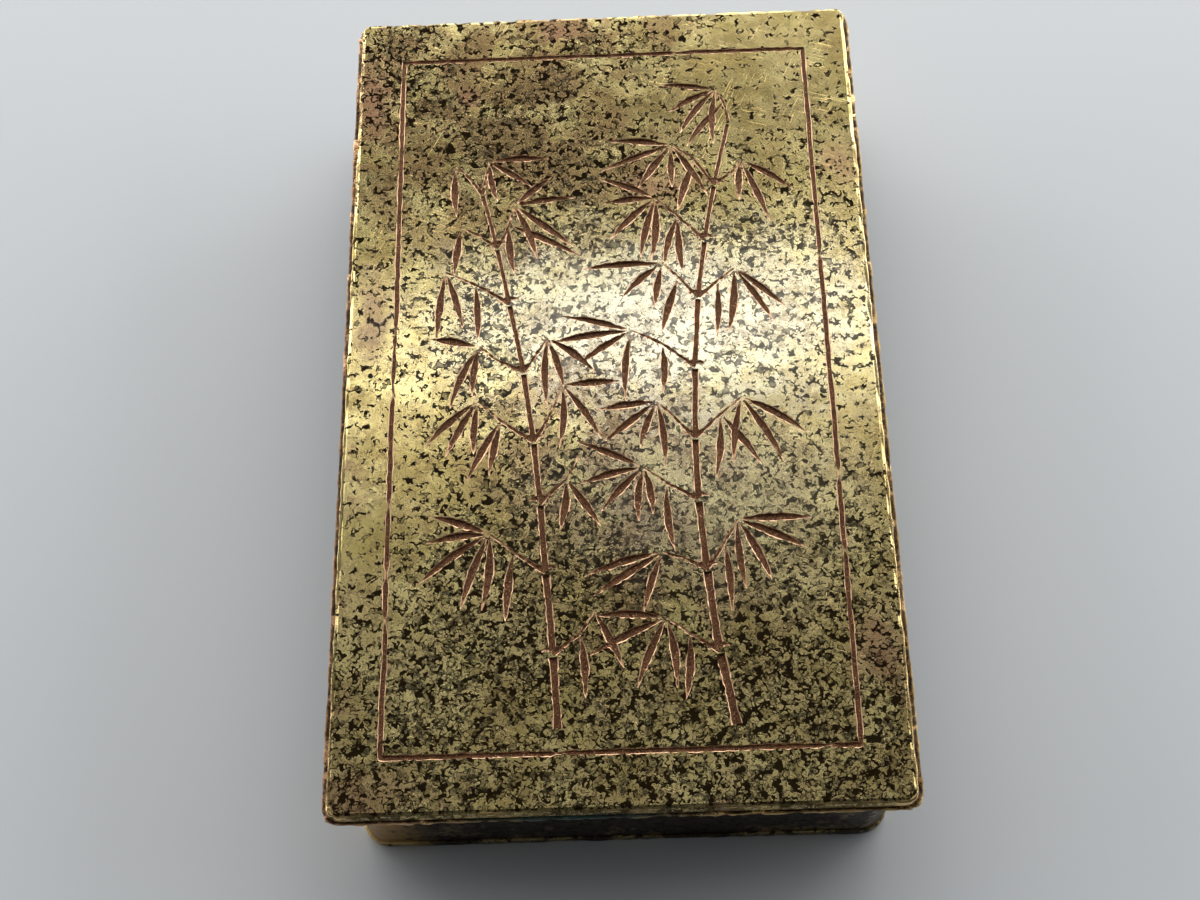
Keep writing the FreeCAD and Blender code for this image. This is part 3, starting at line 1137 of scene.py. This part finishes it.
# %% Material: engraved face, its stains and wear
soot = times(step(share, 0.30, 0.55), step(noise(place, 0.9, 5.0, 0.75), 0.50, 0.60))
brass = blend(times(soot, 0.85), brass, SOOT)
brass = blend(times(flecks["Rim"], 0.35), brass, RIM_BRASS)
border_stain = step(noise(place, 0.16, 4.0, 0.65), 0.56, 0.72)
near_edge = step(edge_in, 5.5, 0.5)
stain = weighted(0.0, spots(place, STAINED, 0.9))
stain = plus(stain, times(border_stain, near_edge), clamp=True)
brass = blend(times(stain, 0.55), brass, RED_STAIN)
scratch = crossed(place, (0.35, 1.1, 0.8), (2.0, 0.9, 0.7))
brass = blend(times(scratch, 0.5), brass, BRIGHT_GOLD)
fleck_amount = times(flecks["Fleck"], weighted(0.99, [(wax_and_painted_sheen, -0.24)]))
surface = blend(fleck_amount, brass, DARK_PATINA)

rub_noise = times(noise(place, 1.3, 3.0, 0.6), -0.55)
rub = step(plus(edge_in, rub_noise), 0.12, -0.08)
handled_and_corner_highlights = [
    (step(axis[0], 20.0, 28.0), 0.35),
    (step(noise(place, 0.25), 0.48, 0.60), 0.35),
    # The two spots at the near corners are painted highlights in bright gold; the edge band and the
    # noise are rubbing.
    (spot(place, -29, -49, 3.5, 3), 0.8),
    (spot(place, 29, -49, 3, 3), 0.8),
]
rub = times(rub, weighted(0.12, handled_and_corner_highlights), clamp=True)
surface = blend(times(rub, 0.85), surface, BRIGHT_GOLD)

# %% Material: engraved face, its shine
kept = times(fleck_amount, minus(1.0, rub))
dull = noise(place, 0.35, 3.0, 0.6)
grain = noise(place, 5.0, 3.0, 0.6)
height = weighted(0.0, [(kept, -0.3), (grain, 0.2), (scratch, -0.5), (haze, -0.2)])
rough_parts = [(dull, 0.11), (kept, 0.05), (haze, 0.09), (stain, 0.06), (rub, 0.02)]
wire(shader, {
    "Base Color": surface,
    "Metallic": weighted(0.96, [(kept, -0.92), (haze, -0.2)]),
    "Roughness": weighted(0.14, rough_parts),
    "Specular IOR Level": 0.0,
    "Coat Weight": weighted(0.11, [(wax_and_painted_sheen, 0.80), (kept, -0.08)]),
    "Coat Roughness": 0.22,
    "Coat IOR": 1.65,
    "Normal": sheet_normal(place, height, 0.13),
})

# %% [markdown]
# ## The cut metal
#
# In the strokes the metal shows its own reddish colour. The shoulders are polished to a pinkish copper
# by years of wiping, and the floor is dull red-brown, grainy, with tiny bright points. The material
# reads the height of each point, because the depth of the cut decides between the two.

# %% Material: engraved strokes
SHOULDER_COPPER = (0.62, 0.39, 0.235)
FLOOR_RED = (0.165, 0.072, 0.030)
FLOOR_DARK = (0.038, 0.018, 0.011)
shader, place = start_material(groove_brass)
depth = minus(FACE_LEVEL, split(place)[2])
ragged_depth = plus(depth, times(noise(place, 2.2, 3.0), 0.08))
floor_share = step(ragged_depth, 0.085, 0.15)
granular = noise(place, 6.5, 3.0, 0.7)
floor_colour = blend(step(granular, 0.38, 0.58), FLOOR_DARK, FLOOR_RED)
points = step(noise(place, 7.5, 1.0), 0.66, 0.72)
floor_colour = blend(points, floor_colour, SHOULDER_COPPER)
wire(shader, {
    "Base Color": blend(floor_share, SHOULDER_COPPER, floor_colour),
    "Metallic": weighted(0.95, [(floor_share, -0.45)]),
    "Roughness": weighted(0.30, [(floor_share, 0.24), (points, -0.2)]),
    "Specular IOR Level": 0.15,
    "Normal": bump(granular, 0.03 * MM),
})

# %% [markdown]
# ## Plain brass and copper
#
# The other metal pieces share one recipe: a base colour under cloudy tarnish, a haze and flecks of
# patina, and hair scratches down to the clean metal. Some pieces show more of their handling. The lid's
# edge is rubbed bright along its rim, with a coppery left side and a little green in the near seam, and
# the case and its bottom are brighter at two opposite corners: partly rubbed bare, partly a painted
# highlight. One function builds it all from a few values.

# %% Material recipe: sheet metal
def sheet_metal(
    name, clean, tarnish, cloud_scale, covered, flecked, dullness,
    rim=None, rubbed=None, left_side=None, green=None, held_and_painted_glint=None,
):
    """A brass or copper finish.

    The clouds of tarnish have a scale and cover a share of the metal, flecked is the share of flecks,
    and dullness is the roughness of the clean metal. What follows is optional: the rim of the piece as
    (half width, half length, corner, reach of the rubbing), and colours for the rubbed rim, the left
    side, the green in the near seam and the two corners that the case is held by, which are partly
    rubbed bare and partly a painted highlight.
    """
    material = bpy.data.materials.new(name)
    shader, place = start_material(material)
    clouds = noise(place, cloud_scale, 4.0, 0.62)
    if left_side:
        to_left = step(split(place)[0], -10.0, -29.0)
        clean = blend(to_left, clean, left_side)
        rubbed = blend(to_left, rubbed, left_side)
    cover = step(clouds, 0.62 - 0.3 * covered, 0.78 - 0.3 * covered)
    flecks = use(fleck_group, place, flecked, 1.0, 0.6)
    scratch = crossed(place, (0.9, 1.2, 0.9), (2.5, 0.8, 0.8))
    colour = blend(cover, clean, tarnish)
    colour = blend(times(flecks["Haze"], 0.45), colour, tarnish)
    colour = blend(times(flecks["Fleck"], 0.9), colour, DARK_PATINA)
    colour = blend(times(scratch, 0.5), colour, clean)
    shine = [(cover, -0.2), (flecks["Fleck"], -0.55)]
    if rim:
        *plan, reach = rim
        rub_noise = times(noise(place, 1.6, 3.0), -0.3)
        rim_in = use(inset_group, place, *plan)[0]
        rub = step(plus(rim_in, rub_noise), reach, -0.1)
        colour = blend(times(rub, 0.85), colour, rubbed)
    # The held corners are brighter bare metal: partly rubbing, partly a painted highlight.
    if held_and_painted_glint:
        parts = split(place)
        corner_wise = calc("ABSOLUTE", plus(parts[0], parts[1]))
        worn = step(noise(place, 0.9, 4.0, 0.6), 0.34, 0.50)
        bare_and_painted_glint = times(step(corner_wise, 67.0, 72.0), worn)
        colour = blend(times(bare_and_painted_glint, 0.85), colour, held_and_painted_glint)
        shine.append((bare_and_painted_glint, 0.35))
    if green:
        seam = spot(place, -5, -50, 15, 2.4, 0.8)
        colour = blend(times(seam, 0.9), colour, green)
        shine.append((seam, -0.5))
    grain = noise(place, 4.0, 3.0, 0.6)
    height = weighted(0.0, [(grain, 0.4), (flecks["Fleck"], -0.4), (scratch, -0.5)])
    rough_parts = [(cover, 0.14), (flecks["Fleck"], 0.12), (clouds, 0.08)]
    wire(shader, {
        "Base Color": colour,
        "Metallic": weighted(0.95, shine),
        "Roughness": weighted(dullness, rough_parts),
        "Specular IOR Level": 0.2,
        "Normal": sheet_normal(place, height, cloud_scale * 1.5),
    })
    return material


# %% Materials: the brass and copper pieces
lid_edge_brass = sheet_metal(
    "lid_edge_brass", (0.66, 0.43, 0.19), (0.10, 0.055, 0.03), 0.45, 0.85, 0.42, 0.22,
    rim=(30.0, 50.0, 1.9, 0.20), rubbed=(0.80, 0.56, 0.24),
    left_side=(0.78, 0.45, 0.24), green=(0.03, 0.10, 0.105),
)
skirt_brass = sheet_metal(
    "skirt_brass", (0.62, 0.46, 0.20), (0.15, 0.09, 0.045), 0.3, 0.5, 0.3, 0.3
)
case_brass = sheet_metal(
    "case_brass", (0.38, 0.26, 0.10), (0.036, 0.023, 0.009), 0.2, 0.95, 0.40, 0.22,
    held_and_painted_glint=(0.46, 0.27, 0.08),
)
# The bright gold at the bottom's held corners is mostly a painted highlight.
bottom_brass = sheet_metal(
    "bottom_brass", (0.46, 0.34, 0.15), (0.06, 0.042, 0.022), 0.15, 0.75, 0.40, 0.28,
    held_and_painted_glint=(0.86, 0.60, 0.24),
)
liner_copper = sheet_metal(
    "liner_copper", (0.62, 0.30, 0.19), (0.17, 0.075, 0.05), 0.12, 0.7, 0.3, 0.32
)

# %% [markdown]
# ## Slate and dried ink
#
# The stone is blue-black slate with fine mineral grain. Ink has dried in the pool as a glossy film that
# ends in a tide line, and the land keeps a thin stain with the marks of grinding strokes.

# %% Material: slate
SLATE = (0.055, 0.058, 0.066)
SLATE_PALE = (0.105, 0.108, 0.118)
MINERAL = (0.30, 0.29, 0.27)
INK = (0.006, 0.006, 0.008)
slate = bpy.data.materials.new("slate")
shader, place = start_material(slate)
bands = noise(move("MULTIPLY", place, (1.0, 0.25, 2.0)), 0.35, 5.0, 0.65, 0.6)
stone_colour = blend(step(bands, 0.40, 0.66), SLATE, SLATE_PALE)
mineral = step(noise(place, 3.5), 0.68, 0.74)
stone_colour = blend(times(mineral, 0.4), stone_colour, MINERAL)
tide = plus(split(place)[2], times(noise(place, 0.25, 3.0), 1.6))
hollow = step(use(inset_group, place, 22.6, 42.6, 4.5)[0], -0.1, 0.3)
wet = times(step(tide, 9.6, 9.1), hollow)
film = times(step(tide, 10.9, 10.2, 0.0, 0.75), hollow)
splash = times(step(noise(place, 0.3, 3.0, 0.6), 0.60, 0.66), 0.8)
ink = larger(larger(film, wet), splash)
grit = noise(place, 6.0, 4.0, 0.7)
grinding = use(scratch_group, place, 0.2, 1.6, 1.0)[0]
height = weighted(0.0, [(grit, 0.5), (grinding, -0.6), (wet, 0.3)])
wire(shader, {
    "Base Color": blend(ink, stone_colour, INK),
    "Roughness": weighted(0.52, [(wet, -0.34), (film, -0.08), (grit, 0.12)]),
    "Normal": bump(height, 0.03 * MM),
})

# %% [markdown]
# ## Finishes and bodies
#
# Each piece now gets its finish and the body that it moves with, and the frame piece that it stands for
# is hidden.
# The lid carries three pieces, the case two, the liner two, and the stone rides on its own body.

# %% Dressing the pieces
def dress(piece, material, node, body):
    if material:
        piece.data.materials.clear()
        piece.data.materials.append(material)
    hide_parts(node)
    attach(piece, body)


dress(top_sheet, None, "lid_plate", "lid")
dress(lid_edge, lid_edge_brass, "lid_frame", "lid")
dress(skirt, skirt_brass, "lid_skirt", "lid")
dress(case_wall, case_brass, "side_wall", "case")
dress(case_bottom, bottom_brass, "bottom_plate", "case")
dress(liner_strip, liner_copper, "liner_wall", "liner")
dress(liner_sheet, liner_copper, "liner_floor", "liner")
dress(inkstone, slate, "inkstone", "stone")

# %% [markdown]
# ## Floor, lights and camera
#
# The box stands on a pale table. A wide low window stands behind it and throws the shadow towards the
# viewer, a smaller window above it and a ceiling lamp light the lid, and two soft lamps light the sides.
# A narrow strip gives the bright band across the lid. The camera looks down steeply from the near side,
# with the lens of a phone at twice its zoom.

# %% Table
rest()
bpy.ops.mesh.primitive_plane_add(size=4.0, location=(0, 0, 0))
table = bpy.context.object
table.name = "table_top"
table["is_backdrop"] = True
table_paint = bpy.data.materials.new("table_paint")
shader, place = start_material(table_paint)
mottle = noise(place, 0.02, 4.0)
pale = blend(mottle, (0.60, 0.63, 0.655), (0.63, 0.66, 0.685))
wire(shader, {"Base Color": pale, "Roughness": 0.6, "Specular IOR Level": 0.3})
table.data.materials.append(table_paint)


# %% Lights
def soft_light(name, place, width, length, power, colour=(1.0, 1.0, 1.0), target=(0, 0, 0)):
    """A lamp with a rectangular face that is turned to the target."""
    data = bpy.data.lights.new(name, "AREA")
    data.shape = "RECTANGLE"
    data.size = width
    data.size_y = length
    data.energy = power
    data.color = colour
    lamp = add_object(name, data)
    lamp.location = place
    aim = Vector(target) - Vector(place)
    lamp.rotation_euler = aim.to_track_quat("-Z", "Y").to_euler()
    return lamp


WARM = (1.0, 0.98, 0.94)
soft_light("window", (0.0, 0.70, 0.28), 2.2, 0.46, 12.0, (1.0, 0.99, 0.97))
soft_light("upper_window", (0.0, 0.717, 0.623), 1.4, 0.20, 2.5, WARM)
soft_light("ceiling", (0.0, 0.262, 0.913), 1.4, 0.46, 0.84, WARM)
soft_light("left_side", (-0.85, 0.30, 0.30), 0.9, 0.45, 3.1)
soft_light("right_side", (0.85, 0.30, 0.30), 0.9, 0.45, 4.4)
strip = soft_light("strip", (0.03, 0.268, 0.46), 0.32, 0.026, 0.17, target=(0.01, 0.006, 0.017))
strip.rotation_euler.rotate_axis("Z", math.radians(9))

world = bpy.data.worlds.new("room")
bpy.context.scene.world = world
world.use_nodes = True
background = world.node_tree.nodes["Background"]
background.inputs["Color"].default_value = (0.97, 0.98, 1.0, 1)
background.inputs["Strength"].default_value = 0.06

# %% Camera
view = bpy.data.cameras.new("view")
view.sensor_width = 36.0
view.lens = 56.16
view.clip_start = 0.01
camera = add_object("camera", view)
camera.location = (0.00326, -0.10094, 0.19696)
camera.rotation_euler = [math.radians(a) for a in (26.823, 2.017, -1.081)]
bpy.context.scene.camera = camera
bpy.context.scene.view_settings.view_transform = "Standard"

# %% Sizes and finish
rest()
bpy.context.view_layer.update()
boxes = {"frame": frame_box, "visual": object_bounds()}
boxes = {name: [list(corner) for corner in box] for name, box in boxes.items()}
print(boxes)
